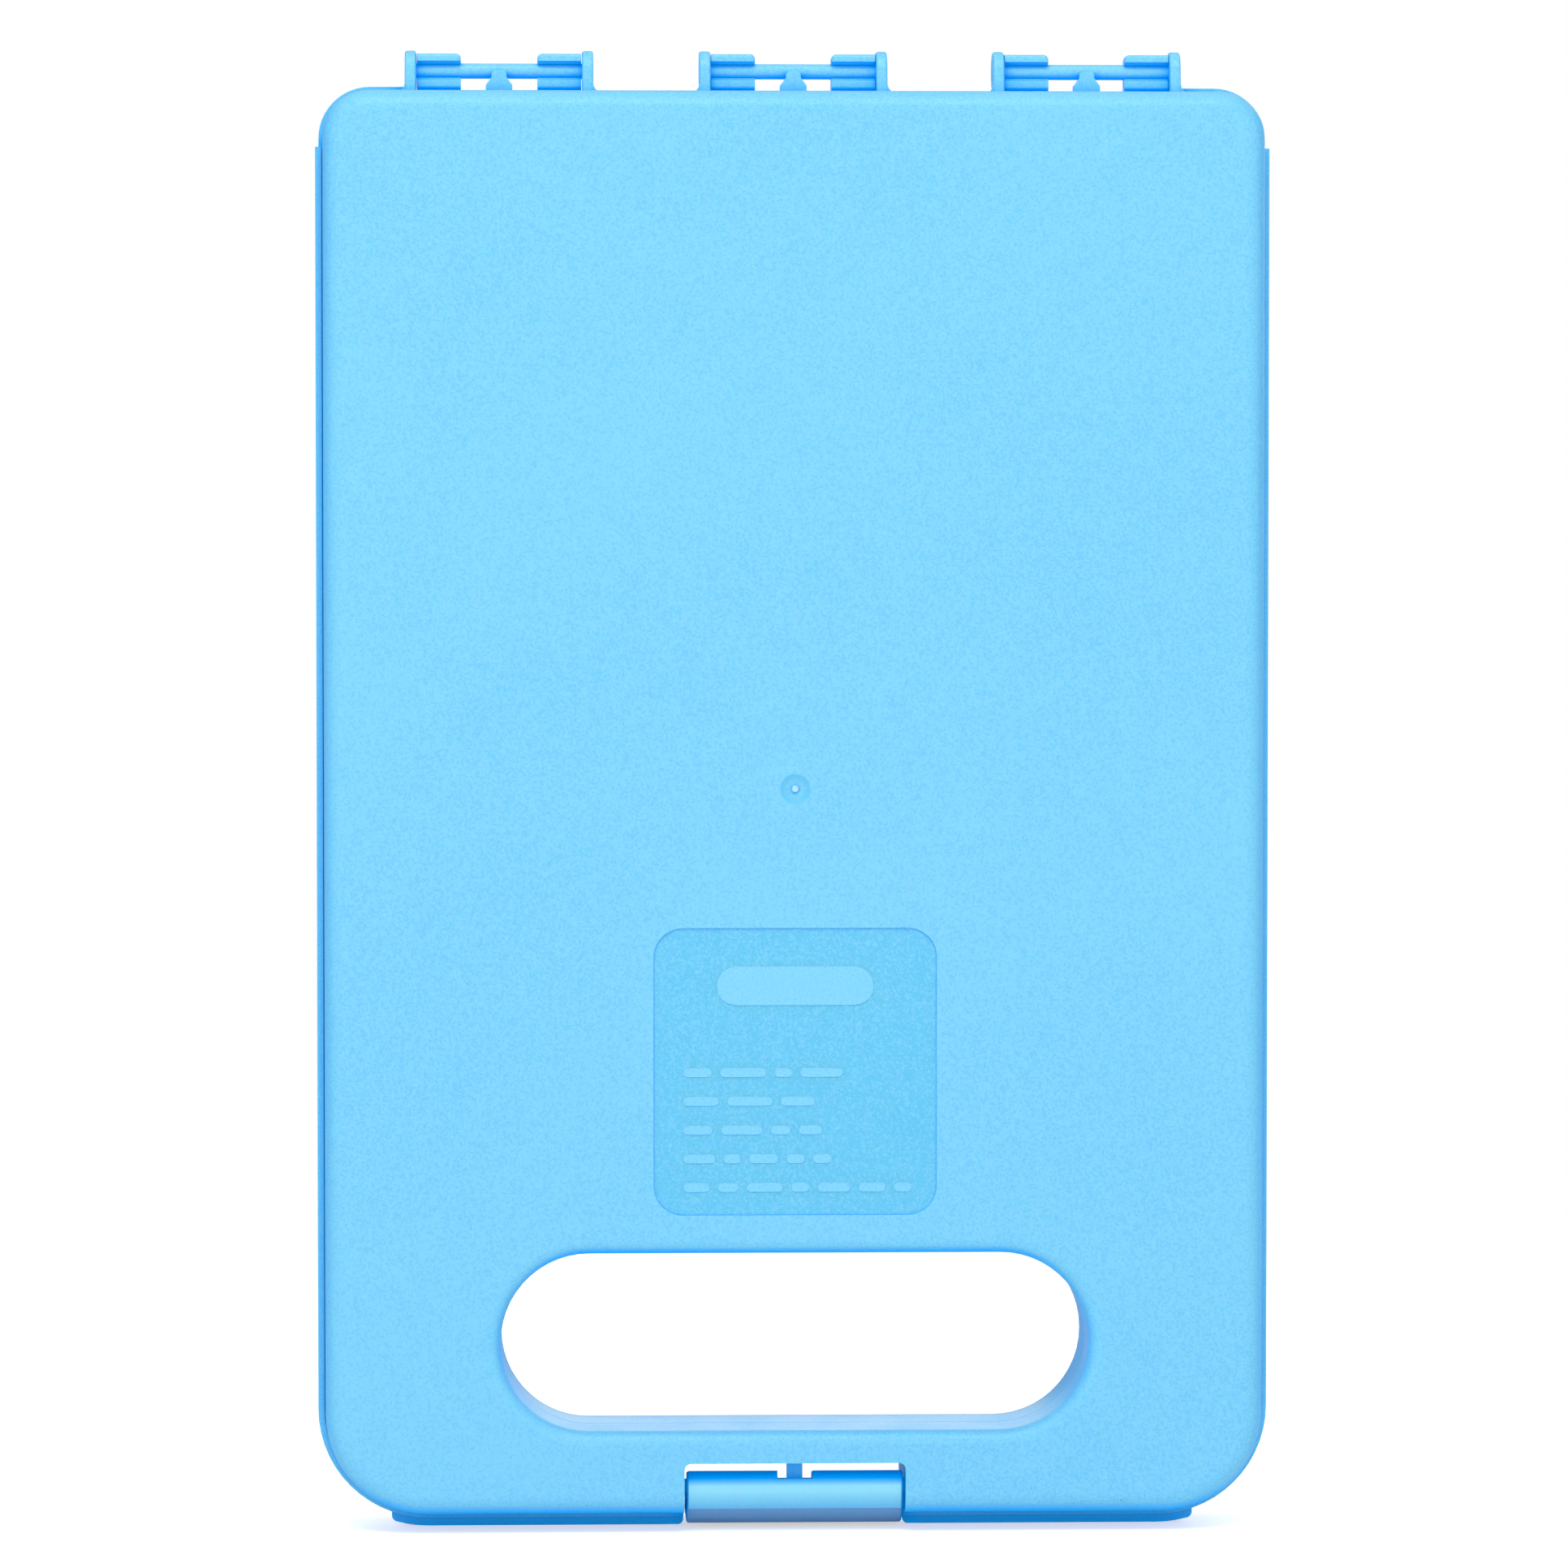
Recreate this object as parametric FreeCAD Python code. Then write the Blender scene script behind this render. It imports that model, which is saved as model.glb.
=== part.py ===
import FreeCAD, Part
import math
import os

# Flat hinged carrying case, moulded in polypropylene.
# Millimetres. +Z is up, towards the hinges; the back of the case faces -Y.
# The origin is the middle of the lowest edge, on the plane where the two trays meet.

# case body
case_width = 166.6
case_bottom = 3.4            # height of the trays' lower edge above the pull lip
case_top = 255.7
top_corner_radius = 8.2
bottom_corner_radius = 18.0
tray_depth = 12.5
rim_gap = 0.1                # each rim stops this far from the meeting plane
side_wall = 1.8
back_floor = 2.0
front_floor = 2.6
face_rounding = 3.5
inside_rounding = 2.0

# handle slot through both trays
slot_width = 104.4
slot_height = 31.6
slot_middle = 34.1
slot_end_radius = 15.7
slot_rim_rounding = 2.4
slot_collar = 1.8

# notch for the latch, open at the lower edge
notch_width = 39.3
notch_top = 12.6
notch_wall = 1.6
notch_corner_radius = 1.2
notch_foot_radius = 1.0      # where the notch runs out through the pull lip

# rim of the front tray, which overlaps the back tray on three sides
flange_reach = 1.5
flange_shoulder_reach = 1.0  # above the skirt
flange_top_reach = 1.1
flange_thickness = 2.4
skirt_thickness = 1.1
skirt_depth = 3.0
skirt_top = 246.0
flange_opening = 138.0       # flange is left out between the top corners
pull_lip_width = 143.6
pull_lip_end_radius = 1.2

# hinges: moulded bars on the back tray, C-clips on the front tray
hinge_pitch = 52.2
hinge_width = 33.4
hinge_height = 259.6         # height of the bar's axis
bar_radius = 1.35
ear_thickness = 2.0
ear_radius = 3.6
ear_back = 4.4               # how far the ear's foot reaches behind the axis
ear_edge_radius = 0.45
ear_rim_setback = 0.5        # from the meeting plane
ear_flare = 1.6
ear_flare_back = 4.0
ear_flare_front = 1.0
clip_length = 7.8
clip_side_gap = 0.12
clip_seat_clearance = 0.08
clip_reach = 2.2
clip_top = 3.0               # above the axis
clip_underside_radius = 3.74 # round about the axis, clear of the back tray
clip_spine = 2.7             # behind the bar
clip_throat = 2.4
clip_mouth = 3.4
clip_throat_end = 0.9        # the channel widens from here ...
clip_mouth_start = 1.7       # ... to here, behind the axis
clip_foot_inner = 0.5
clip_lip_radius = 0.6
clip_crown_radius = 1.6
clip_end_radius = 0.9
gusset_width = 2.6
gusset_foot_width = 4.7
gusset_depth = 3.0
gusset_front = 0.5
gusset_crown_radius = 0.78
gusset_shoulder = 1.2        # below the axis
gusset_flare_end = 2.6

# latch and its bar
latch_width = 38.4
latch_axis_y = -8.2
latch_axis_height = 8.1
latch_bar_radius = 1.3
latch_seat_clearance = 0.08
latch_barrel_radius = 3.4
latch_lip_height = 2.9       # above the axis
latch_far_lip_height = 2.6   # above the axis; slopes down towards the inside
latch_far_lip_end = 1.6
latch_far_lip_reach = 5.0
latch_cutout_front = 0.9     # above the axis, on the side away from the back
latch_throat = 2.2
latch_throat_end = 1.1       # the mouth widens from here ...
latch_mouth_start = 2.2      # ... to here, above the axis
latch_mouth = 3.4
latch_front_radius = 6.6     # of the thumb face, below the axis
latch_bottom = 1.0
latch_sole = 2.4             # upper side of the sole
latch_toe = 11.6
latch_toe_slope = 1.2        # lead-in under the toe
latch_toe_rise = 0.8
latch_toe_crown = 0.5
latch_toe_setback = 0.4
latch_bead_foot = 7.7        # bead that snaps past the catch bar
latch_bead_start = 8.3
latch_bead_end = 9.3
latch_bead_far_foot = 9.9
latch_bead_height = 1.3
latch_neck = -2.6            # where the sole rises to the barrel
latch_neck_rise = 0.1
latch_heel_height = 4.3
latch_heel_slope_end = -4.9
latch_edge_chamfer = 0.3
latch_post_width = 2.8
latch_post_half_depth = 0.8
latch_post_clearance = 0.12
latch_overtravel = 1.0       # degrees that the post's slot is longer than the swing
latch_cutout_width = 6.2
latch_swing = 45.0
latch_cutout_steps = 4
catch_low = 4.0
catch_height = 2.4
catch_back = 5.0
catch_depth = 2.2
catch_radius = 0.7

# moulding marks on the back
gate_height = 132.4
gate_radius = 2.65
gate_depth = 0.6
gate_nub_radius = 0.85
gate_nub_tip_radius = 0.51
gate_nub_height = 0.55
plaque_width = 50.2
plaque_low = 56.8
plaque_high = 107.8
plaque_corner_radius = 5.2
plaque_depth = 0.3

# writing panel on the front
panel_width = 146.0
panel_low = 60.4
panel_high = 244.0
panel_corner_radius = 7.0
panel_thickness = 1.0
panel_gap = 0.15
panel_setback = 0.2
panel_edge_radius = 0.3

# construction
past = 1.0                   # how far a cutting shape reaches past the surface it cuts
root = 1.0                   # how deep a hinge part is rooted in the tray's upper wall
bar_root = 0.8               # how deep a bar's end is rooted in a notch wall

half_width = case_width / 2
half_slot = slot_width / 2
half_notch = notch_width / 2
slot_low = slot_middle - slot_height / 2
slot_high = slot_middle + slot_height / 2
seat_radius = bar_radius + clip_seat_clearance
diagonal = math.sqrt(0.5)
tolerance = 0.01


def at(x, y, z):
    return FreeCAD.Vector(x, y, z)


def box(x_low, x_high, y_low, y_high, z_low, z_high):
    return Part.makeBox(x_high - x_low, y_high - y_low, z_high - z_low, at(x_low, y_low, z_low))


def rounded_plate(half, low, high, low_radius, high_radius, y_low, y_high):
    """Upright plate, symmetric about X = 0, with rounded lower and upper corners."""
    corners = [
        (half - low_radius, low + low_radius, low_radius, 1, -1),
        (half - high_radius, high - high_radius, high_radius, 1, 1),
        (-half + high_radius, high - high_radius, high_radius, -1, 1),
        (-half + low_radius, low + low_radius, low_radius, -1, -1),
    ]
    edges = []
    ends = []
    for x, z, radius, side, up in corners:
        beside = at(x + side * radius, y_low, z)
        beyond = at(x, y_low, z + up * radius)
        middle = at(x + side * radius * diagonal, y_low, z + up * radius * diagonal)
        first, last = (beyond, beside) if side * up < 0 else (beside, beyond)
        edges.append(Part.Arc(first, middle, last).toShape())
        ends.append((first, last))
    for index in range(4):
        edges.append(Part.makeLine(ends[index][1], ends[(index + 1) % 4][0]))
    outline = Part.Wire(Part.__sortEdges__(edges))
    return Part.Face(outline).extrude(at(0, y_high - y_low, 0))


def side_profile(points, x_low, x_high):
    """Solid with a straight-sided profile in the YZ plane, drawn out along X."""
    loop = [at(x_low, y, z) for y, z in points]
    face = Part.Face(Part.makePolygon(loop + loop[:1]))
    return face.extrude(at(x_high - x_low, 0, 0))


def rod(radius, y, z, x_low, x_high):
    return Part.makeCylinder(radius, x_high - x_low, at(x_low, y, z), at(1, 0, 0))


def edges_on_plane(solid, y):
    found = []
    for edge in solid.Edges:
        if all(abs(vertex.Y - y) < tolerance for vertex in edge.Vertexes):
            found.append(edge)
    return found


def edges_along(solid, axis):
    """Straight edges of a solid that run along one axis."""
    found = []
    for edge in solid.Edges:
        if isinstance(edge.Curve, Part.Line) and abs(edge.Curve.Direction.dot(axis)) > 0.999:
            found.append(edge)
    return found


def end_outline(solid):
    """Edges that lie flat in a plane across X: the outlines of a profile's two ends."""
    return [edge for edge in solid.Edges if edge.BoundBox.XMax - edge.BoundBox.XMin < tolerance]


def mirror_in_meeting_plane(solid):
    return solid.mirror(at(0, 0, 0), at(0, 1, 0))


def notch_block(margin, y_low, y_high):
    """The latch notch, or the walls around it when a margin is given."""
    half = half_notch + margin
    block = box(-half, half, y_low, y_high, -past, notch_top + margin)
    upper_edges = [edge for edge in edges_along(block, at(0, 1, 0)) if edge.Vertexes[0].Z > 0]
    return block.makeFillet(notch_corner_radius, upper_edges)


def slot_hole(margin, y_low, y_high):
    """The handle slot, or the collar round it when a margin is given."""
    radius = slot_end_radius + margin
    return rounded_plate(half_slot + margin, slot_low - margin, slot_high + margin, radius, radius,
                         y_low, y_high)


def tray(floor):
    """Back half of the case: a tray that opens towards +Y, with slot collar and notch walls."""
    face = -tray_depth
    body = rounded_plate(half_width, case_bottom, case_top, bottom_corner_radius, top_corner_radius,
                         face, -rim_gap)
    body = body.makeFillet(face_rounding, edges_on_plane(body, face))
    body = body.cut(slot_hole(0, face - past, past))
    slot_edges = [edge for edge in edges_on_plane(body, face)
                  if edge.BoundBox.ZMax < slot_high + tolerance and edge.BoundBox.ZMin > slot_low - tolerance
                  and edge.BoundBox.XMax < half_slot + tolerance]
    body = body.makeFillet(slot_rim_rounding, slot_edges)
    hollow = rounded_plate(half_width - side_wall, case_bottom + side_wall, case_top - side_wall,
                           bottom_corner_radius - side_wall, top_corner_radius - side_wall,
                           face + floor, past)
    hollow = hollow.makeFillet(inside_rounding, edges_on_plane(hollow, face + floor))
    hollow = hollow.cut(slot_hole(slot_collar, face, past))
    hollow = hollow.cut(notch_block(notch_wall, face, past))
    body = body.cut(hollow)
    return body.cut(notch_block(0, face - past, past))


def hinge_ear(x_low):
    """Rounded ear that carries one end of a hinge bar."""
    x_high = x_low + ear_thickness
    foot = case_top - root
    eye = rod(ear_radius, 0, hinge_height, x_low, x_high)
    web = side_profile([(-ear_back, foot), (-ear_rim_setback, foot), (-ear_rim_setback, hinge_height),
                        (-ear_radius, hinge_height)], x_low, x_high)
    ear = eye.fuse(web).removeSplitter()
    outline = [edge for edge in end_outline(ear) if edge.BoundBox.ZMax > foot + tolerance]
    return ear.makeFillet(ear_edge_radius, outline)


def ear_foot(x, side):
    """Concave flare where the outer side of an ear meets the tray."""
    size = ear_flare
    low = min(x - ear_thickness / 4 * side, x + size * side)
    high = max(x - ear_thickness / 4 * side, x + size * side)
    block = box(low, high, -ear_flare_back, -ear_flare_front, case_top - root, case_top + size)
    scoop = Part.makeCylinder(size, ear_back, at(x + size * side, -ear_back, case_top + size), at(0, 1, 0))
    return block.cut(scoop)


def hinge_gusset(x):
    """Post under the middle of a hinge bar, wider at its foot."""
    shoulder = hinge_height - gusset_shoulder
    flare_end = hinge_height - gusset_flare_end
    foot = case_top - root
    half_top = gusset_width / 2
    half_foot = gusset_foot_width / 2
    back = -gusset_depth
    outline = [at(x - half_foot, back, foot), at(x + half_foot, back, foot),
               at(x + half_foot, back, flare_end), at(x + half_top, back, shoulder),
               at(x + half_top, back, hinge_height), at(x - half_top, back, hinge_height),
               at(x - half_top, back, shoulder), at(x - half_foot, back, flare_end)]
    face = Part.Face(Part.makePolygon(outline + outline[:1]))
    post = face.extrude(at(0, gusset_depth - gusset_front, 0))
    crown_edges = [edge for edge in edges_along(post, at(0, 1, 0))
                   if edge.Vertexes[0].Z > hinge_height - tolerance]
    return post.makeFillet(gusset_crown_radius, crown_edges)


def hinge_bar(x):
    """One hinge of the back tray: two ears, the bar between them and its gusset."""
    low = x - hinge_width / 2
    high = x + hinge_width / 2
    hinge = rod(bar_radius, 0, hinge_height, low + ear_thickness / 2, high - ear_thickness / 2)
    return hinge.fuse([hinge_ear(low), hinge_ear(high - ear_thickness), hinge_gusset(x),
                       ear_foot(low, -1), ear_foot(high, 1)])


def clip_channel(x_low, x_high):
    """Mouth of a clip: parallel round the bar, then widening towards -Y."""
    axis = hinge_height
    throat = clip_throat / 2
    mouth = clip_mouth / 2
    outside = -clip_reach - past
    return side_profile([(0, axis - throat), (-clip_throat_end, axis - throat),
                         (-clip_mouth_start, axis - mouth), (outside, axis - mouth),
                         (outside, axis + mouth), (-clip_mouth_start, axis + mouth),
                         (-clip_throat_end, axis + throat), (0, axis + throat)], x_low, x_high)


def hinge_clip(x_low, free_end):
    """C-clip of the front tray, open towards -Y, that snaps over a hinge bar.

    free_end is 1 or -1, for the end of the clip that faces the middle of its hinge.
    """
    x_high = x_low + clip_length
    axis = hinge_height
    crown = axis + clip_top
    shell = side_profile([(-clip_reach, crown), (-clip_reach, axis), (clip_foot_inner, axis),
                          (clip_foot_inner, case_top - root), (clip_spine, case_top - root),
                          (clip_spine, crown)], x_low, x_high)
    lower_lip = rod(clip_underside_radius, 0, axis, x_low, x_high)
    lower_lip = lower_lip.common(box(x_low, x_high, -clip_reach, clip_foot_inner,
                                     axis - clip_underside_radius - past, axis))
    shell = shell.fuse(lower_lip).removeSplitter()
    crown_edges = [edge for edge in edges_along(shell, at(1, 0, 0))
                   if edge.Vertexes[0].Z > crown - tolerance and edge.Vertexes[0].Y > 0]
    shell = shell.makeFillet(clip_crown_radius, crown_edges)
    end = x_high if free_end > 0 else x_low
    end_edges = [edge for edge in edges_along(shell, at(0, 1, 0))
                 if edge.Vertexes[0].Z > crown - tolerance and abs(edge.Vertexes[0].X - end) < tolerance]
    shell = shell.makeFillet(clip_end_radius, end_edges)
    seat = rod(seat_radius, 0, axis, x_low - past, x_high + past)
    clip = shell.cut(seat).cut(clip_channel(x_low - past, x_high + past))
    lip_edges = [edge for edge in edges_along(clip, at(1, 0, 0))
                 if edge.Vertexes[0].Y < -clip_reach + tolerance
                 and abs(edge.Vertexes[0].Z - axis) > clip_mouth / 2 + tolerance]
    return clip.makeFillet(clip_lip_radius, lip_edges)


def clip_pair(x):
    """The two clips of one hinge, one beside each ear."""
    inner_face = hinge_width / 2 - ear_thickness - clip_side_gap
    return [hinge_clip(x - inner_face, 1), hinge_clip(x + inner_face - clip_length, -1)]


def hinge_places():
    return [-hinge_pitch, 0.0, hinge_pitch]


def latch_bar():
    """Bar across the notch of the back tray, with its post from the notch's roof."""
    half_bar = half_notch + bar_root
    bar = rod(latch_bar_radius, latch_axis_y, latch_axis_height, -half_bar, half_bar)
    half_post = latch_post_width / 2
    post = box(-half_post, half_post, latch_axis_y - latch_post_half_depth,
               latch_axis_y + latch_post_half_depth, latch_axis_height, notch_top + bar_root)
    return bar.fuse(post)


def plaque_recess():
    half = plaque_width / 2
    return rounded_plate(half, plaque_low, plaque_high, plaque_corner_radius, plaque_corner_radius,
                         -tray_depth - past, -tray_depth + plaque_depth)


def gate_dimple():
    """Shallow round dish left by the mould's gate."""
    ball_radius = (gate_radius ** 2 + gate_depth ** 2) / (2 * gate_depth)
    middle = at(0, -tray_depth + gate_depth - ball_radius, gate_height)
    return Part.makeSphere(ball_radius, middle)


def gate_nub():
    dish_floor = at(0, -tray_depth + gate_depth, gate_height)
    return Part.makeCone(gate_nub_radius, gate_nub_tip_radius, gate_nub_height, dish_floor, at(0, -1, 0))


def back_shell():
    shell = tray(back_floor)
    shell = shell.cut(plaque_recess()).cut(gate_dimple())
    additions = [hinge_bar(x) for x in hinge_places()]
    return shell.fuse(additions + [latch_bar(), gate_nub()]).removeSplitter()


def pull_lip():
    """Lip along the lower edge that runs parallel to the trays' outline."""
    radius = bottom_corner_radius + case_bottom
    outline = rounded_plate(half_width + case_bottom, 0, 3 * radius, radius, radius,
                            rim_gap, rim_gap + flange_thickness)
    half = pull_lip_width / 2
    lip = outline.common(box(-half, half, 0, tray_depth, -past, case_bottom))
    ends = [edge for edge in edges_along(lip, at(0, 1, 0))
            if abs(edge.Vertexes[0].X) > half - tolerance and edge.Vertexes[0].Z < case_bottom - tolerance]
    return lip.makeFillet(pull_lip_end_radius, ends)


def rim_outline(reach, y_low, y_high, high):
    """Plate that stands out past the trays by a given reach on the sides and the lower edge."""
    return rounded_plate(half_width + reach, case_bottom - reach, high, bottom_corner_radius + reach,
                         top_corner_radius + reach, y_low, y_high)


def rim_flange():
    """Flange round the front tray's rim, with its skirt and the pull lip along the bottom."""
    front = rim_gap + flange_thickness
    high = case_top + flange_top_reach
    outer = half_width + flange_reach
    rim = rim_outline(flange_reach, -skirt_depth, front, high)
    rim = rim.cut(box(-outer - past, outer + past, -skirt_depth - past, front + past, skirt_top, high + past))
    shoulder = rim_outline(flange_shoulder_reach, rim_gap, front, high)
    inside = rim_outline(flange_reach - skirt_thickness, -skirt_depth - past, rim_gap,
                         high + top_corner_radius)
    rim = rim.fuse([shoulder, pull_lip()]).cut(inside)
    half_opening = flange_opening / 2
    rim = rim.cut(box(-half_opening, half_opening, -skirt_depth, tray_depth, case_top, high + past))
    tray_space = rim_outline(-side_wall / 2, 0, tray_depth, case_top - side_wall / 2)
    rim = rim.cut(tray_space).cut(notch_block(0, -skirt_depth - past, tray_depth))
    notch_feet = [edge for edge in edges_along(rim, at(0, 1, 0))
                  if abs(abs(edge.Vertexes[0].X) - half_notch) < tolerance
                  and edge.Vertexes[0].Z < tolerance]
    return rim.makeFillet(notch_foot_radius, notch_feet)


def catch_bar():
    """Bar across the notch of the front tray that the latch's toe snaps under."""
    half = half_notch + bar_root
    bar = box(-half, half, catch_back, catch_back + catch_depth, catch_low, catch_low + catch_height)
    return bar.makeFillet(catch_radius, edges_along(bar, at(1, 0, 0)))


def panel_plate(margin, y_low, y_high):
    half = panel_width / 2 + margin
    return rounded_plate(half, panel_low - margin, panel_high + margin, panel_corner_radius + margin,
                         panel_corner_radius + margin, y_low, y_high)


def front_shell():
    shell = mirror_in_meeting_plane(tray(front_floor))
    recess_floor = tray_depth - panel_setback - panel_thickness
    shell = shell.cut(panel_plate(panel_gap, recess_floor, tray_depth + past))
    clips = []
    for x in hinge_places():
        clips.extend(clip_pair(x))
    return shell.fuse(clips + [rim_flange(), catch_bar()]).removeSplitter()


def writing_panel():
    outer_face = tray_depth - panel_setback
    panel = panel_plate(0, outer_face - panel_thickness, outer_face)
    return panel.makeFillet(panel_edge_radius, edges_on_plane(panel, outer_face))


def latch_body():
    """Side profile of the latch: barrel at the back, sole underneath, toe bead at the front."""
    half = latch_width / 2
    back = latch_axis_y - latch_barrel_radius
    front_of_barrel = latch_axis_y + latch_barrel_radius
    bead_top = latch_sole + latch_bead_height
    toe_top = latch_bottom + latch_toe_rise + latch_toe_crown
    thumb_middle = back + latch_front_radius
    drop = latch_axis_height - latch_heel_height
    heel = thumb_middle - math.sqrt(latch_front_radius ** 2 - drop ** 2)
    thumb_face = rod(latch_front_radius, thumb_middle, latch_axis_height, -half, half)
    thumb_face = thumb_face.common(box(-half, half, back - past, latch_axis_y, latch_heel_height,
                                       latch_axis_height))
    sole = side_profile([(heel, latch_heel_height), (latch_heel_slope_end, latch_bottom),
                         (latch_toe - latch_toe_slope, latch_bottom),
                         (latch_toe, latch_bottom + latch_toe_rise),
                         (latch_toe - latch_toe_setback, toe_top), (latch_bead_far_foot, latch_sole),
                         (latch_bead_end, bead_top), (latch_bead_start, bead_top),
                         (latch_bead_foot, latch_sole), (latch_neck, latch_sole),
                         (front_of_barrel, latch_heel_height + latch_neck_rise),
                         (front_of_barrel, latch_axis_height), (latch_axis_y, latch_axis_height),
                         (latch_axis_y, latch_heel_height)], -half, half)
    barrel = rod(latch_barrel_radius, latch_axis_y, latch_axis_height, -half, half)
    body = sole.fuse([thumb_face, barrel]).removeSplitter()
    return body.makeChamfer(latch_edge_chamfer, end_outline(body))


def latch_mouth_cut():
    """Mouth of the barrel, open upwards so that it snaps over the bar."""
    half = latch_width / 2 + past
    throat = latch_throat / 2
    mouth = latch_mouth / 2
    reach = latch_far_lip_reach
    y = latch_axis_y
    z = latch_axis_height
    channel = side_profile([(y - throat, z), (y + throat, z), (y + throat, z + latch_throat_end),
                            (y + mouth, z + latch_mouth_start), (y + mouth, z + reach),
                            (y - mouth, z + reach), (y - mouth, z + latch_mouth_start),
                            (y - throat, z + latch_throat_end)], -half, half)
    above_lips = box(-half, half, y - reach, y + reach, z + latch_lip_height, z + reach)
    far_lip = side_profile([(y, z + latch_far_lip_height), (y + reach, z + latch_far_lip_end),
                            (y + reach, z + reach), (y, z + reach)], -half, half)
    return channel.fuse([above_lips, far_lip])


def post_sweep():
    """Space that the bar's post takes up in the latch while the latch swings open."""
    half = latch_cutout_width / 2
    reach = latch_barrel_radius + past
    side = latch_post_half_depth + latch_post_clearance
    pivot = at(0, latch_axis_y, latch_axis_height)
    sweeps = []
    for step in range(latch_cutout_steps + 1):
        blade = box(-half, half, latch_axis_y - side, latch_axis_y + side, latch_axis_height,
                    latch_axis_height + reach)
        turn = (latch_swing + latch_overtravel) * step / latch_cutout_steps
        blade.rotate(pivot, at(1, 0, 0), turn)
        sweeps.append(blade)
    front_gap = box(-half, half, latch_axis_y, latch_axis_y + reach,
                    latch_axis_height + latch_cutout_front, latch_axis_height + reach)
    return front_gap.fuse(sweeps)


def latch():
    half = latch_width / 2
    bore = rod(latch_bar_radius + latch_seat_clearance, latch_axis_y, latch_axis_height,
               -half - past, half + past)
    return latch_body().cut(bore).cut(latch_mouth_cut()).cut(post_sweep())


def main():
    os.makedirs("parts", exist_ok=True)
    pieces = {
        "back_shell": back_shell(),
        "front_shell": front_shell(),
        "latch": latch(),
        "writing_panel": writing_panel(),
    }
    for name, shape in pieces.items():
        shape.exportStep("parts/" + name + ".step")
        print(name, shape.isValid(), len(shape.Solids), round(shape.Volume), shape.BoundBox)


main()
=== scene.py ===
import math
import random

import bmesh
import bpy
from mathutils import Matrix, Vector


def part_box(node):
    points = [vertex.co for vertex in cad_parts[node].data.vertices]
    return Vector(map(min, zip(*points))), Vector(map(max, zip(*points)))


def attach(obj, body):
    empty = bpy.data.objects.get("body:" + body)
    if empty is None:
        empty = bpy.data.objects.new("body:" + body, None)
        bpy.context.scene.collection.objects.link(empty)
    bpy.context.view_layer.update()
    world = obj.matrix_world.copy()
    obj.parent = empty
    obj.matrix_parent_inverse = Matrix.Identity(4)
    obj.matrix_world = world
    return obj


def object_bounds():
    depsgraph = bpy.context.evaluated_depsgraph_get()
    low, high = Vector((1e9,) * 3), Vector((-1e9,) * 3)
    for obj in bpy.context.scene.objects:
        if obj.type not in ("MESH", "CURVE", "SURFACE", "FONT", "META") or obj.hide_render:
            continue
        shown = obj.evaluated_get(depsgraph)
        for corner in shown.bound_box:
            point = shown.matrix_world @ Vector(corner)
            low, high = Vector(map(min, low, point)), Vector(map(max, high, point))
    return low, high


MM = 0.001
SEED = 7
WHITE = (1.0, 1.0, 1.0)
FADE = (1.0, 0.0)

# colours, linear
CASE_BLUE = (0.208, 0.640, 0.945)
CASE_BLUE_FLECK = (0.142, 0.570, 0.915)
# painted shade: the deep blue of crevices and of faces turned down or sideways
CASE_BLUE_PAINTED_SHADE = (0.000, 0.340, 0.920)
# colour of the painted glow in the shaded places
CASE_BLUE_PAINTED_GLOW = (0.000, 0.400, 0.950)
PLAQUE_BLUE = (0.105, 0.560, 0.885)
# painted reflection of the floor on the latch's downward faces
SOLE_PAINTED_REFLECTION = (0.170, 0.400, 0.720)
# painted highlight on the latch's face
THUMB_PAINTED_HIGHLIGHT = (0.340, 0.800, 0.985)
SCUFF_BLUE = (0.450, 0.780, 0.980)
GATE_PALE = (0.520, 0.740, 0.970)
PANEL_BLACK = (0.012, 0.013, 0.014)
CHALK_DUST = (0.30, 0.31, 0.31)
FLOOR_WHITE = (0.95, 0.95, 0.95)
FLOOR_WHITE_SHADE = (0.93, 0.93, 0.935)
FLOOR_BOUNCE = (0.92, 0.92, 0.92)
SPECK_BROWN = (0.02, 0.012, 0.008)

# glow, only for the camera: a painted glow in the plastic's shade, and the floor's white
CREVICE_PAINTED_GLOW = 0.26           # a painted glow in the shade, in place of light that comes through the thin walls
LATCH_PAINTED_GLOW = 0.05             # less painted glow: the latch is thicker
FLOOR_GLOW = 0.55

# plastic; noise scales are cycles per metre
CLOUD_SCALE = 14.0
FLOW_SCALE = 90.0
FINE_GRAIN_SCALE = 2600.0
FINE_GRAIN_HEIGHT = 0.03 * MM
COARSE_GRAIN_SCALE = 900.0
COARSE_GRAIN_HEIGHT = 0.035 * MM
TINT_SPREAD = (0.35, 0.65)               # the part of a noise's range that shows
SHEEN_SPREAD = (0.3, 0.7)
CLOUD_TINT = (0.0, 0.35)
FLECK_TINT = (-0.6, 0.8)
FLOW_SHEEN = (-0.04, 0.05)               # added to the roughness
FLECK_SHEEN = (-0.04, 0.04)
CASE_ROUGHNESS = 0.46
LATCH_ROUGHNESS = 0.34
LATCH_GRAIN = 0.35                       # how strong its grain is beside the case's
CASE_SUBSURFACE = 0.45
SUBSURFACE_REACH = (0.25, 0.8, 1.4)
SUBSURFACE_SCALE = 2.0 * MM
PLASTIC_SPECULAR = 0.5

# painted shade of crevices and turned faces; a pair is the range over which the painted shade fades in or
# out
CREVICE_REACH = 4.0 * MM
CREVICE_SAMPLES = 8
CREVICE_OPEN = (0.30, 0.82)              # the share of open directions
DOWNWARD_OPEN = (-0.95, -0.45)           # the upward part of the normal
SIDEWAYS_TURN = (0.50, 1.00)             # the sideways part of the normal
SIDEWAYS_LIGHT = 0.55
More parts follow.
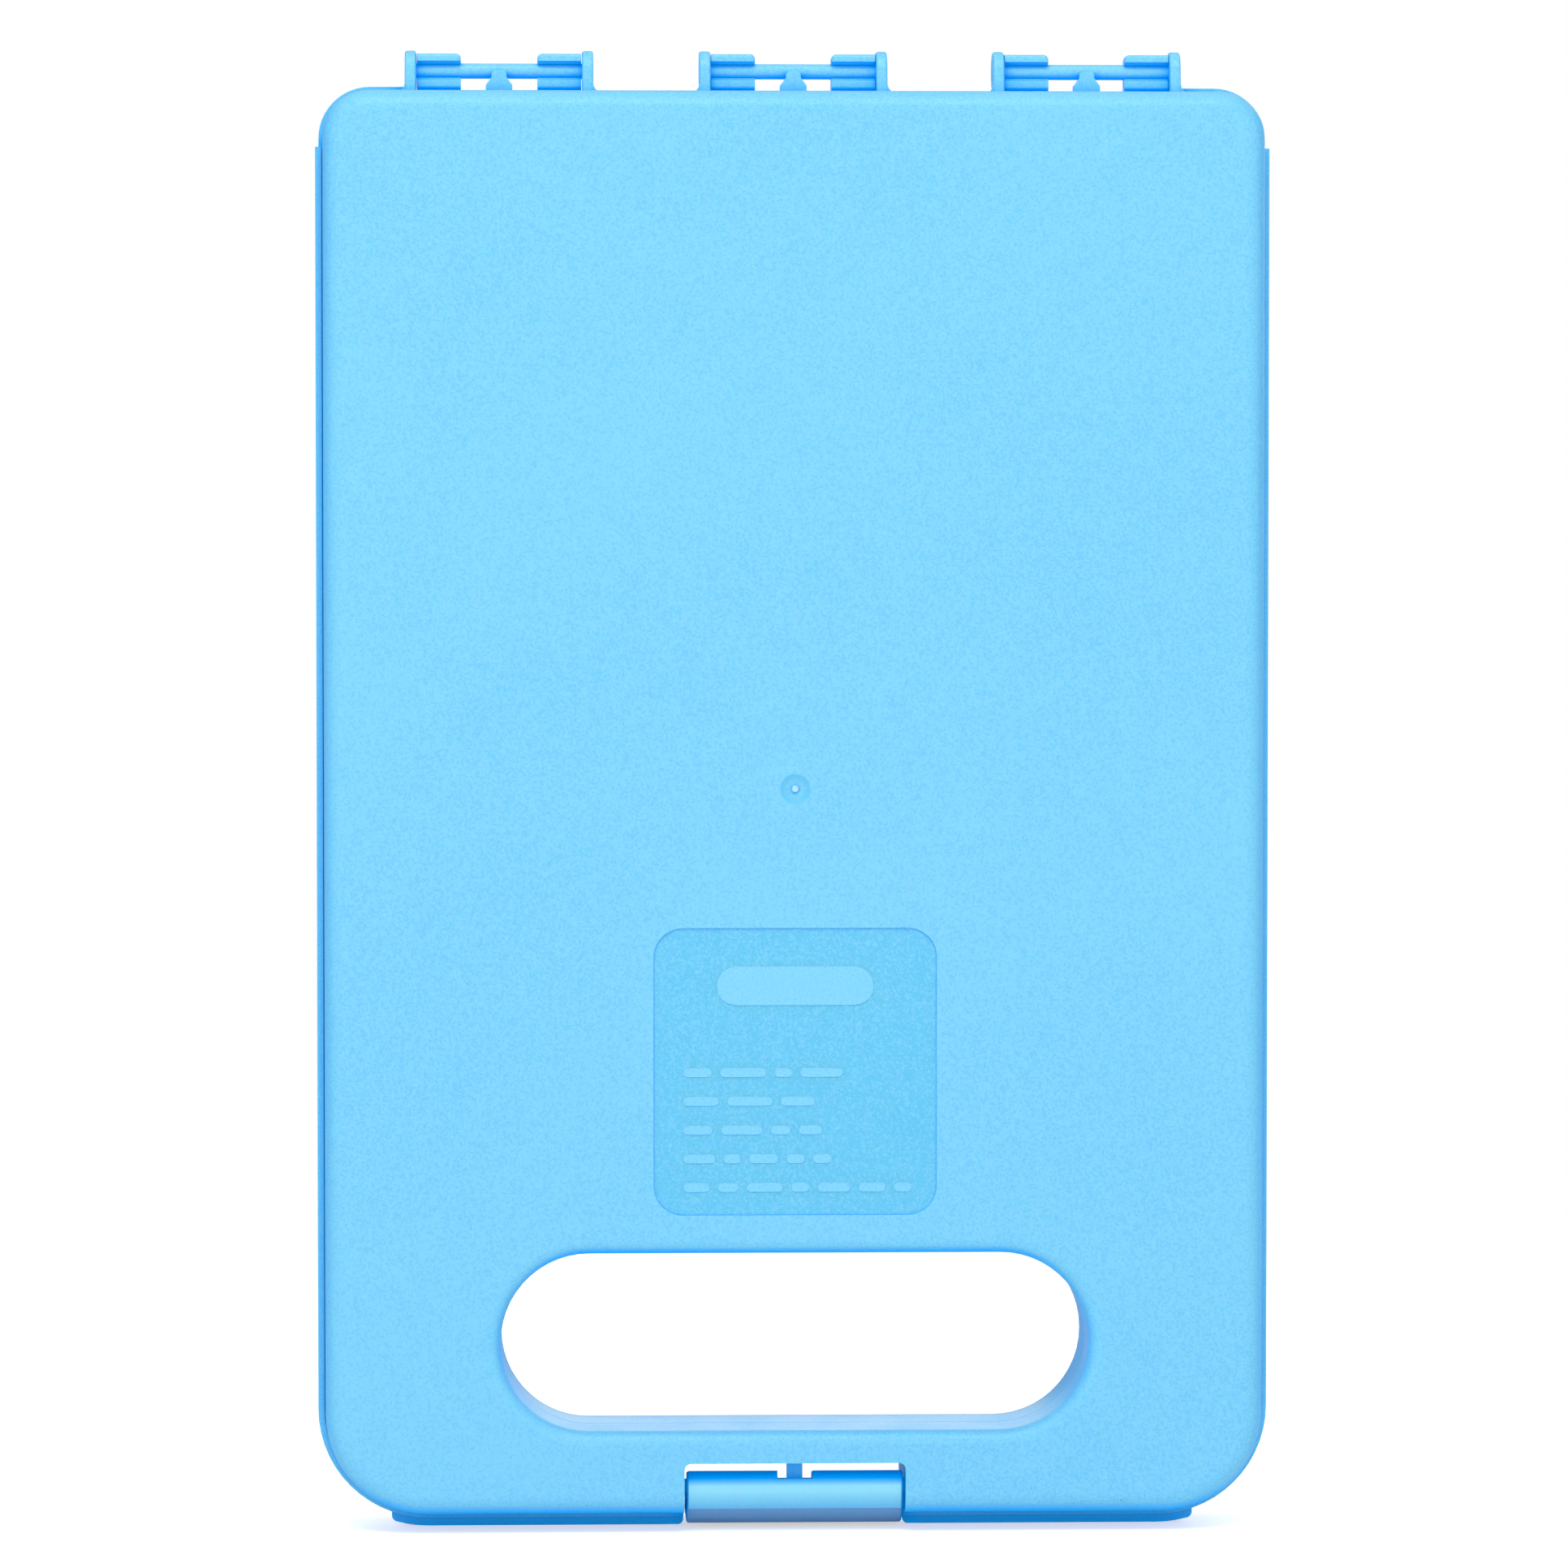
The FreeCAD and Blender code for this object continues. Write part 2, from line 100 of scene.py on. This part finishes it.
# painted shadow on the top of the latch, where it turns up under the notch's roof
THUMB_TOP_TURN = (0.12, 0.48)
# where the painted reflection on the latch's downward faces fades out
SOLE_TURN = (-0.80, -0.62)

SCRATCH_SCALE = 420.0
SCRATCH_TURN = (0.2, 0.9, 0.3)
SCRATCH_STRETCH = 0.06
SCRATCH_WIDTH = 0.006
SCRATCH_PATCH_SCALE = 55.0
SCRATCH_PATCH_SPREAD = (0.58, 0.68)
SCRATCH_STRENGTH = 0.10

PIT_SCALE = 2100.0
PIT_HEIGHT = 0.12 * MM
PIT_SPREAD = (0.36, 0.64)
PIT_TINT = (0.1, 1.25)

# chalk panel
WIPE_SCALE = 34.0
WIPE_TURN = (0.0, 0.45, 0.0)
WIPE_STRETCH = 0.22
WIPE_SPREAD = (0.42, 0.75)
HAZE_SCALE = 11.0
HAZE_SPREAD = (0.3, 0.7)
HAZE_AMOUNT = (0.1, 0.5)
DUST_SCALE = 1900.0
DUST_SPREAD = (0.35, 0.65)
DUST_AMOUNT = (0.4, 1.0)
DUST_HEIGHT = 0.03 * MM
CHALKED = (0.0, 0.5)                     # no dust to the most dust
CHALK_ROUGHNESS = (0.62, 0.9)
CHALK_SPECULAR = 0.3

# floor, in metres
FLOOR_HALF = 1.8
FADE_END = 0.50                          # where the floor has become the white backdrop
FADE_WIDTH = 0.30
PAPER_CLOUD_SCALE = 3.0
PAPER_SHEEN_SCALE = 40.0
PAPER_GRAIN_SCALE = 300.0
PAPER_GRAIN_HEIGHT = 0.02 * MM
PAPER_ROUGHNESS = (0.75, 0.85)
PAPER_SPECULAR = 0.2

# light: name, place, width and height in metres, power
SOFTBOXES = (
    ("key_softbox", (-0.10, -0.85, 1.35), (0.9, 0.5), 9.3),
    ("front_softbox", (-0.15, -1.35, 0.25), (1.7, 0.6), 5.2),
    ("top_softbox", (0.0, 0.25, 1.5), (1.4, 1.0), 1.4),
    ("back_softbox", (0.35, 1.30, 0.45), (1.2, 0.6), 4.0),
)
ROOM_LIGHT = 0.50

# camera
CAMERA_DISTANCE = 1.2
CAMERA_YAW = math.radians(2.0)           # to the left of straight behind
CAMERA_PITCH = math.radians(2.25)
FRAME_WIDTH = 277.2 * MM                 # what the picture spans, at the back face
TARGET_X = -2.0 * MM
TARGET_Z = 133.3 * MM
SENSOR = 36.0
NEAR_CLIP = 0.05

# marks on the back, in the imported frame
PLAQUE_HALF = 25.1 * MM
PLAQUE_LOW = 56.8 * MM
PLAQUE_HIGH = 107.8 * MM
PLAQUE_DEPTH = 0.3 * MM
PLAQUE_MARGIN = 0.1 * MM
PLAQUE_EDGE = 0.05 * MM
GATE_HEIGHT = 132.4 * MM
GATE_DEPTH = 0.1 * MM
GATE_NUB_RADIUS = 0.95 * MM
GATE_NUB_EDGE = 0.35 * MM
# the painted shade in the dish lies between this radius and the dish floor's
GATE_DISH_RADIUS = 2.9 * MM
GATE_DISH_EDGE = 0.4 * MM
GATE_FLOOR_RADIUS = 2.2 * MM
GATE_FLOOR_EDGE = 0.9 * MM
GATE_STRENGTH = 0.7
SPECK_X = 58.0 * MM
SPECK_Z = 5.6 * MM
SPECK_RADIUS = 0.32 * MM
SPECK_EDGE = 0.12 * MM
HIGHLIGHT_HEIGHT = 7.6 * MM                  # middle height of the painted highlight on the latch
HIGHLIGHT_RISE = 2.6 * MM
HIGHLIGHT_STRENGTH = 0.75

# raised bars on the plaque
ROW_PITCH = 5.1 * MM
ROW_INDENT = 5.2 * MM
LOWEST_ROW = 4.9 * MM
ROW_WIDTHS = (41.5, 30.5, 27.0, 27.0, 31.0)   # millimetres, from the lowest row up
DASH_HEIGHT = 1.7 * MM
DASH_SHORTEST = 3.0 * MM
DASH_LONGEST = 8.5 * MM
DASH_GAP = 1.3 * MM
BADGE_HALF = 14.0 * MM
BADGE_HEIGHT = 7.0 * MM
BADGE_MIDDLE = 97.5 * MM
BAR_RISE = 0.12 * MM
BAR_SLOPE = 0.12 * MM
BAR_END_STEPS = 8


# ---------- material helpers ----------

def new_material(name):
    material = bpy.data.materials.new(name)
    material.use_nodes = True
    material.node_tree.nodes.clear()
    return material, material.node_tree


def noise(tree, position, scale, detail=2.0, roughness=0.5):
    node = tree.nodes.new("ShaderNodeTexNoise")
    for key, number in (("Scale", scale), ("Detail", detail), ("Roughness", roughness)):
        node.inputs[key].default_value = number
    tree.links.new(position, node.inputs["Vector"])
    return node.outputs["Fac"]


def remap(tree, value, source, target=(0.0, 1.0)):
    """The value with one range stretched onto another, and held at its ends."""
    node = tree.nodes.new("ShaderNodeMapRange")
    tree.links.new(value, node.inputs["Value"])
    for key, number in zip(("From Min", "From Max", "To Min", "To Max"), (*source, *target)):
        node.inputs[key].default_value = number
    return node.outputs["Result"]


def math_node(tree, operation, first, second=None):
    node = tree.nodes.new("ShaderNodeMath")
    node.operation = operation
    for socket, value in zip(node.inputs, (first, second)):
        if value is None:
            continue
        if isinstance(value, (int, float)):
            socket.default_value = value
        else:
            tree.links.new(value, socket)
    return node.outputs["Value"]


def times(tree, first, second):
    return math_node(tree, "MULTIPLY", first, second)


def vector_node(tree, operation, vector, second=None):
    node = tree.nodes.new("ShaderNodeVectorMath")
    node.operation = operation
    tree.links.new(vector, node.inputs[0])
    if second is not None:
        node.inputs[1].default_value = second
    return node.outputs


def mix_colour(tree, factor, first, second):
    node = tree.nodes.new("ShaderNodeMix")
    node.data_type = "RGBA"
    sockets = (node.inputs["Factor"], node.inputs[6], node.inputs[7])
    for socket, value in zip(sockets, (factor, first, second)):
        if isinstance(value, tuple):
            socket.default_value = (*value, 1.0)
        else:
            tree.links.new(value, socket)
    return node.outputs[2]


def bump(tree, height, distance, below=None):
    node = tree.nodes.new("ShaderNodeBump")
    node.inputs["Strength"].default_value = 1.0
    node.inputs["Distance"].default_value = distance
    tree.links.new(height, node.inputs["Height"])
    if below is not None:
        tree.links.new(below, node.inputs["Normal"])
    return node.outputs["Normal"]


def object_position(tree):
    return tree.nodes.new("ShaderNodeTexCoord").outputs["Object"]


def stretched(tree, position, turn, stretch):
    """A turned position in which a noise is drawn out along one direction."""
    mapping = tree.nodes.new("ShaderNodeMapping")
    mapping.inputs["Rotation"].default_value = turn
    mapping.inputs["Scale"].default_value = (1.0, 1.0, stretch)
    tree.links.new(position, mapping.inputs["Vector"])
    return mapping.outputs["Vector"]


def camera_ray(tree):
    return tree.nodes.new("ShaderNodeLightPath").outputs["Is Camera Ray"]


def axis_part(tree, vector, axis):
    parts = tree.nodes.new("ShaderNodeSeparateXYZ")
    tree.links.new(vector, parts.inputs["Vector"])
    return parts.outputs[axis]


def normal_part(tree, axis):
    return axis_part(tree, tree.nodes.new("ShaderNodeNewGeometry").outputs["Normal"], axis)


def box_mask(tree, position, middle, half, softness):
    """1 inside a box, 0 outside it, with a soft edge."""
    offset = vector_node(tree, "SUBTRACT", position, middle)["Vector"]
    distance = vector_node(tree, "ABSOLUTE", offset)["Vector"]
    inside = None
    for axis, size in zip(("X", "Y", "Z"), half):
        edge = remap(tree, axis_part(tree, distance, axis), (size - softness, size), FADE)
        inside = edge if inside is None else times(tree, inside, edge)
    return inside


def ball_mask(tree, position, middle, radius, softness):
    """1 inside a ball, 0 outside it, with a soft edge."""
    distance = vector_node(tree, "DISTANCE", position, middle)["Value"]
    return remap(tree, distance, (radius - softness, radius), FADE)


def finish_material(tree, colour, roughness, normal, subsurface=0.0, specular=PLASTIC_SPECULAR):
    shader = tree.nodes.new("ShaderNodeBsdfPrincipled")
    output = tree.nodes.new("ShaderNodeOutputMaterial")
    tree.links.new(colour, shader.inputs["Base Color"])
    tree.links.new(roughness, shader.inputs["Roughness"])
    tree.links.new(normal, shader.inputs["Normal"])
    shader.inputs["Specular IOR Level"].default_value = specular
    shader.inputs["Subsurface Weight"].default_value = subsurface
    shader.inputs["Subsurface Radius"].default_value = SUBSURFACE_REACH
    shader.inputs["Subsurface Scale"].default_value = SUBSURFACE_SCALE
    tree.links.new(shader.outputs["BSDF"], output.inputs["Surface"])
    return shader, output


# ---------- materials ----------

def plaque_floor(tree, position, colour, normal, back_y):
    """The plaque's darker, pitted floor."""
    middle = (0.0, back_y + PLAQUE_DEPTH, (PLAQUE_LOW + PLAQUE_HIGH) / 2)
    half = (PLAQUE_HALF + PLAQUE_MARGIN, PLAQUE_DEPTH, (PLAQUE_HIGH - PLAQUE_LOW) / 2 + PLAQUE_MARGIN)
    inside = box_mask(tree, position, middle, half, PLAQUE_EDGE)
    pits = noise(tree, position, PIT_SCALE, roughness=0.7)
    darker = times(tree, inside, remap(tree, pits, PIT_SPREAD, PIT_TINT))
    colour = mix_colour(tree, darker, colour, PLAQUE_BLUE)
    return colour, bump(tree, times(tree, inside, pits), PIT_HEIGHT, below=normal)


def gate_mark(tree, position, colour, back_y):
    """The mark where the plastic was fed in: a pale nub in the middle of a ring of painted shade in its
    dish.
    """
    nub = (0.0, back_y + GATE_DEPTH, GATE_HEIGHT)
    pale = ball_mask(tree, position, nub, GATE_NUB_RADIUS, GATE_NUB_EDGE)
    dish = ball_mask(tree, position, nub, GATE_DISH_RADIUS, GATE_DISH_EDGE)
    dish_floor = ball_mask(tree, position, nub, GATE_FLOOR_RADIUS, GATE_FLOOR_EDGE)
    # painted shade in the gate's dish
    ring = times(tree, math_node(tree, "SUBTRACT", dish, dish_floor), GATE_STRENGTH)
    colour = mix_colour(tree, ring, colour, PLAQUE_BLUE)
    return mix_colour(tree, times(tree, pale, GATE_STRENGTH), colour, GATE_PALE)


def thumb_face(tree, position, colour, lit, back_y):
    """The latch's face: painted shadow where it turns upward, a painted highlight lower down, a painted
    reflection on its downward faces.
    """
    steepness = normal_part(tree, "Z")
    # painted shadow where the latch's top turns up under the notch's roof
    lit = times(tree, lit, remap(tree, steepness, THUMB_TOP_TURN, FADE))
    # painted reflection on the latch's downward faces, in place of the deep blue shade
    reflection_underneath = remap(tree, steepness, SOLE_TURN, FADE)
    lit = math_node(tree, "MAXIMUM", lit, reflection_underneath)
    # painted highlight across the middle of the latch's face
    painted_highlight = box_mask(tree, position, (0.0, back_y, HIGHLIGHT_HEIGHT), (1.0, 1.0, HIGHLIGHT_RISE), HIGHLIGHT_RISE)
    colour = mix_colour(tree, times(tree, painted_highlight, HIGHLIGHT_STRENGTH), colour, THUMB_PAINTED_HIGHLIGHT)
    return mix_colour(tree, reflection_underneath, colour, SOLE_PAINTED_REFLECTION), lit


def openness(tree):
    """The mask for painted shade: 1 where the surface is open to the light, less on sideways faces, 0 in a
    crevice or facing down.
    """
    occlusion = tree.nodes.new("ShaderNodeAmbientOcclusion")
    occlusion.samples = CREVICE_SAMPLES
    occlusion.inputs["Distance"].default_value = CREVICE_REACH
    unshaded = remap(tree, occlusion.outputs["AO"], CREVICE_OPEN)
    not_downward = remap(tree, normal_part(tree, "Z"), DOWNWARD_OPEN)
    sideways = math_node(tree, "ABSOLUTE", normal_part(tree, "X"))
    not_sideways = remap(tree, sideways, SIDEWAYS_TURN, (1.0, SIDEWAYS_LIGHT))
    return times(tree, times(tree, unshaded, not_downward), not_sideways)


def scratches(tree, position):
    """Sparse hairline scuffs: thin ridges of a stretched noise, broken up by a second one."""
    lines = noise(tree, stretched(tree, position, SCRATCH_TURN, SCRATCH_STRETCH), SCRATCH_SCALE, detail=1.0)
    ridge = math_node(tree, "ABSOLUTE", math_node(tree, "SUBTRACT", lines, 0.5))
    thin = remap(tree, ridge, (0.0, SCRATCH_WIDTH), FADE)
    patches = remap(tree, noise(tree, position, SCRATCH_PATCH_SCALE), SCRATCH_PATCH_SPREAD)
    return times(tree, thin, patches)


def moulded_plastic(name, grain=1.0, base_roughness=CASE_ROUGHNESS, subsurface=CASE_SUBSURFACE,
                    glow=CREVICE_PAINTED_GLOW, plaque_y=None, thumb_y=None, speck=None):
    """Spark-textured polypropylene: fine grain, faint flow marks, a few hairline scuffs; painted shade and
    a painted glow in crevices and on turned faces.

    plaque_y and thumb_y are the back face's y, for the piece with the plaque and for the latch.
    """
    material, tree = new_material(name)
    position = object_position(tree)
    cloud = noise(tree, position, CLOUD_SCALE, detail=3.0)
    flow = noise(tree, position, FLOW_SCALE)
    fine = noise(tree, position, FINE_GRAIN_SCALE, roughness=0.6)
    coarse = noise(tree, position, COARSE_GRAIN_SCALE, roughness=0.55)
    fleck_tint = tuple(amount * grain for amount in FLECK_TINT)
    tint = math_node(tree, "ADD", remap(tree, cloud, TINT_SPREAD, CLOUD_TINT),
                     remap(tree, fine, TINT_SPREAD, fleck_tint))
    colour = mix_colour(tree, tint, CASE_BLUE, CASE_BLUE_FLECK)
    flow_sheen = tuple(base_roughness + change for change in FLOW_SHEEN)
    roughness = math_node(tree, "ADD", remap(tree, flow, SHEEN_SPREAD, flow_sheen),
                          remap(tree, fine, SHEEN_SPREAD, FLECK_SHEEN))
    normal = bump(tree, fine, FINE_GRAIN_HEIGHT * grain)
    normal = bump(tree, coarse, COARSE_GRAIN_HEIGHT * grain, below=normal)
    if plaque_y is not None:
        colour, normal = plaque_floor(tree, position, colour, normal, plaque_y)
        colour = gate_mark(tree, position, colour, plaque_y)
    if speck is not None:
        spot = ball_mask(tree, position, speck, SPECK_RADIUS, SPECK_EDGE)
        colour = mix_colour(tree, spot, colour, SPECK_BROWN)
    scuff = scratches(tree, position)
    colour = mix_colour(tree, times(tree, scuff, SCRATCH_STRENGTH), colour, SCUFF_BLUE)
    lit = openness(tree)
    if thumb_y is not None:
        colour, lit = thumb_face(tree, position, colour, lit, thumb_y)
    # painted shade: deep blue where the mask says the plastic is not lit
    colour = mix_colour(tree, lit, CASE_BLUE_PAINTED_SHADE, colour)
    roughness = math_node(tree, "ADD", roughness, times(tree, scuff, SCRATCH_STRENGTH))
    shader, _ = finish_material(tree, colour, roughness, normal, subsurface=subsurface)
    # less specular in the painted shade
    tree.links.new(times(tree, lit, PLASTIC_SPECULAR), shader.inputs["Specular IOR Level"])
    # painted glow in the shade, seen only by the camera
    shader.inputs["Emission Color"].default_value = (*CASE_BLUE_PAINTED_GLOW, 1.0)
    shaded = times(tree, math_node(tree, "SUBTRACT", 1.0, lit), glow)
    tree.links.new(times(tree, shaded, camera_ray(tree)), shader.inputs["Emission Strength"])
    return material


def chalk_surface():
    """Matt black slate paint with the grey haze that wiped chalk leaves."""
    material, tree = new_material("chalk_surface")
    position = object_position(tree)
    wipe = noise(tree, stretched(tree, position, WIPE_TURN, WIPE_STRETCH), WIPE_SCALE,
                 detail=4.0, roughness=0.62)
    cloud = noise(tree, position, HAZE_SCALE)
    grain = noise(tree, position, DUST_SCALE, roughness=0.7)
    haze = times(tree, remap(tree, wipe, WIPE_SPREAD), remap(tree, cloud, HAZE_SPREAD, HAZE_AMOUNT))
    dust = times(tree, haze, remap(tree, grain, DUST_SPREAD, DUST_AMOUNT))
    colour = mix_colour(tree, dust, PANEL_BLACK, CHALK_DUST)
    roughness = remap(tree, dust, CHALKED, CHALK_ROUGHNESS)
    finish_material(tree, colour, roughness, bump(tree, grain, DUST_HEIGHT), specular=CHALK_SPECULAR)
    return material


def floor_material():
    """Pale sweep: white close by, fading into the backdrop; it bounces less light than it shows."""
    material, tree = new_material("studio_floor")
    position = object_position(tree)
    seen = camera_ray(tree)
    paper = mix_colour(tree, noise(tree, position, PAPER_CLOUD_SCALE), FLOOR_WHITE, FLOOR_WHITE_SHADE)
    colour = mix_colour(tree, seen, FLOOR_BOUNCE, paper)
    roughness = remap(tree, noise(tree, position, PAPER_SHEEN_SCALE), SHEEN_SPREAD, PAPER_ROUGHNESS)
    normal = bump(tree, noise(tree, position, PAPER_GRAIN_SCALE), PAPER_GRAIN_HEIGHT)
    shader, output = finish_material(tree, colour, roughness, normal, specular=PAPER_SPECULAR)
    shader.inputs["Emission Color"].default_value = (*WHITE, 1.0)
    tree.links.new(times(tree, seen, FLOOR_GLOW), shader.inputs["Emission Strength"])
    backdrop = tree.nodes.new("ShaderNodeEmission")
    backdrop.inputs["Color"].default_value = (*WHITE, 1.0)
    backdrop.inputs["Strength"].default_value = 1.0
    near = ball_mask(tree, position, (0.0, 0.0, 0.0), FADE_END, FADE_WIDTH)
    far = math_node(tree, "SUBTRACT", 1.0, near)
    mix = tree.nodes.new("ShaderNodeMixShader")
    tree.links.new(times(tree, far, seen), mix.inputs["Fac"])
    tree.links.new(shader.outputs["BSDF"], mix.inputs[1])
    tree.links.new(backdrop.outputs["Emission"], mix.inputs[2])
    tree.links.new(mix.outputs["Shader"], output.inputs["Surface"])
    return material


def assign(obj, material):
    obj.data.materials.clear()
    obj.data.materials.append(material)


# ---------- pieces ----------

def mesh_object(name, bm, material):
    mesh = bpy.data.meshes.new(name)
    bm.to_mesh(mesh)
    bm.free()
    obj = bpy.data.objects.new(name, mesh)
    bpy.context.scene.collection.objects.link(obj)
    obj.data.materials.append(material)
    return obj


def raised_bar(bm, left, right, low, high, floor_y):
    """One low bar with rounded ends and sloped sides, standing on the plaque's floor."""
    radius = (high - low) / 2
    inner = radius - BAR_SLOPE
    middle = (low + high) / 2
    foot = []
    top = []
    for side, centre_x in ((1, right - radius), (-1, left + radius)):
        for step in range(BAR_END_STEPS + 1):
            angle = -math.pi / 2 + math.pi * step / BAR_END_STEPS
            across = side * math.cos(angle)
            up = side * math.sin(angle)
            foot.append(bm.verts.new((centre_x + radius * across, floor_y, middle + radius * up)))
            top.append(bm.verts.new((centre_x + inner * across, floor_y - BAR_RISE, middle + inner * up)))
    count = len(foot)
    for index in range(count):
        following = (index + 1) % count
        bm.faces.new((foot[index], foot[following], top[following], top[index]))
    bm.faces.new(top)
    bm.faces.new(foot[::-1])


def bar_piece(name, bars, material, floor_y):
    """One named piece made of raised bars, riding on the back tray."""
    bm = bmesh.new()
    for left, right, low, high in bars:
        raised_bar(bm, left, right, low, high, floor_y)
    bmesh.ops.recalc_face_normals(bm, faces=bm.faces)
    piece = mesh_object(name, bm, material)
    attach(piece, "back_tray")


def dashes(left, right, middle):
    """Plain dashes of uneven length that fill one row."""
    bars = []
    low = middle - DASH_HEIGHT / 2
    while left < right - DASH_SHORTEST:
        end = min(left + random.uniform(DASH_SHORTEST, DASH_LONGEST), right)
        bars.append((left, end, low, low + DASH_HEIGHT))
        left = end + DASH_GAP
    return bars


def plaque_marks(material, back_y):
    """Plain raised marks in the moulded plaque: a blank badge and rows of dashes."""
    floor_y = back_y + PLAQUE_DEPTH
    badge = (-BADGE_HALF, BADGE_HALF, BADGE_MIDDLE - BADGE_HEIGHT / 2, BADGE_MIDDLE + BADGE_HEIGHT / 2)
    bar_piece("plaque_badge", [badge], material, floor_y)
    left = -PLAQUE_HALF + ROW_INDENT
    row = PLAQUE_LOW + LOWEST_ROW
    for number, width in enumerate(ROW_WIDTHS, 1):
        bar_piece("plaque_row_%d" % number, dashes(left, left + width * MM, row), material, floor_y)
        row += ROW_PITCH


# ---------- studio ----------

def studio_floor():
    bm = bmesh.new()
    corners = ((-1, -1), (1, -1), (1, 1), (-1, 1))
    bm.faces.new([bm.verts.new((x * FLOOR_HALF, y * FLOOR_HALF, 0.0)) for x, y in corners])
    mesh_object("studio_floor", bm, floor_material())


def softbox(name, place, target, size, power):
    data = bpy.data.lights.new(name, "AREA")
    data.shape = "RECTANGLE"
    data.size, data.size_y = size
    data.energy = power
    light = bpy.data.objects.new(name, data)
    light.location = place
    light.rotation_mode = "QUATERNION"
    light.rotation_quaternion = (Vector(target) - Vector(place)).to_track_quat("-Z", "Y")
    bpy.context.scene.collection.objects.link(light)


def white_room():
    """Soft light from all sides, with a pure white backdrop for the camera."""
    world = bpy.data.worlds.new("studio")
    world.use_nodes = True
    tree = world.node_tree
    room = tree.nodes["Background"]
    room.inputs["Color"].default_value = (*WHITE, 1.0)
    room.inputs["Strength"].default_value = ROOM_LIGHT
    backdrop = tree.nodes.new("ShaderNodeBackground")
    backdrop.inputs["Color"].default_value = (*WHITE, 1.0)
    mix = tree.nodes.new("ShaderNodeMixShader")
    tree.links.new(camera_ray(tree), mix.inputs["Fac"])
    tree.links.new(room.outputs["Background"], mix.inputs[1])
    tree.links.new(backdrop.outputs["Background"], mix.inputs[2])
    tree.links.new(mix.outputs["Shader"], tree.nodes["World Output"].inputs["Surface"])
    bpy.context.scene.world = world


def camera(target):
    """Long lens, a little to the left of the case's middle from behind, and a little above it."""
    data = bpy.data.cameras.new("camera")
    view = bpy.data.objects.new("camera", data)
    level = math.cos(CAMERA_PITCH)
    away = Vector((-math.sin(CAMERA_YAW) * level, -math.cos(CAMERA_YAW) * level, math.sin(CAMERA_PITCH)))
    view.location = target + away * CAMERA_DISTANCE
    view.rotation_mode = "QUATERNION"
    view.rotation_quaternion = (-away).to_track_quat("-Z", "Y")
    data.sensor_width = SENSOR
    data.lens = SENSOR * CAMERA_DISTANCE / FRAME_WIDTH
    data.clip_start = NEAR_CLIP
    bpy.context.scene.collection.objects.link(view)
    bpy.context.scene.camera = view


# ---------- scene ----------

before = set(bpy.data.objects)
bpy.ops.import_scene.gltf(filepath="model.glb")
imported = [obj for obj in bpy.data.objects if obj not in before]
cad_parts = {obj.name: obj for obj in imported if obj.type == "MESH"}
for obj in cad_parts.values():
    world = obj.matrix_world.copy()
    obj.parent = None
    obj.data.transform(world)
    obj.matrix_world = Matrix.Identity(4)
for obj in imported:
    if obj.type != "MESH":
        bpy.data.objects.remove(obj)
cad_low, cad_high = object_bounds()
random.seed(SEED)

back_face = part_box("back_shell")[0].y
centre = (cad_low + cad_high) / 2

back_plastic = moulded_plastic("case_plastic_back", plaque_y=back_face, speck=(SPECK_X, back_face, SPECK_Z))
front_plastic = moulded_plastic("case_plastic_front")
latch_plastic = moulded_plastic("latch_plastic", grain=LATCH_GRAIN, base_roughness=LATCH_ROUGHNESS,
                                glow=LATCH_PAINTED_GLOW, thumb_y=back_face)
assign(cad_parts["back_shell"], back_plastic)
assign(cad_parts["front_shell"], front_plastic)
assign(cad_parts["latch"], latch_plastic)
assign(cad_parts["writing_panel"], chalk_surface())

plaque_marks(moulded_plastic("plaque_plastic", subsurface=0.0), back_face)

studio_floor()
for box_name, box_place, box_size, box_power in SOFTBOXES:
    softbox(box_name, box_place, centre, box_size, box_power)
white_room()
camera(Vector((TARGET_X, back_face, TARGET_Z)))
bpy.context.scene.view_settings.view_transform = "Standard"
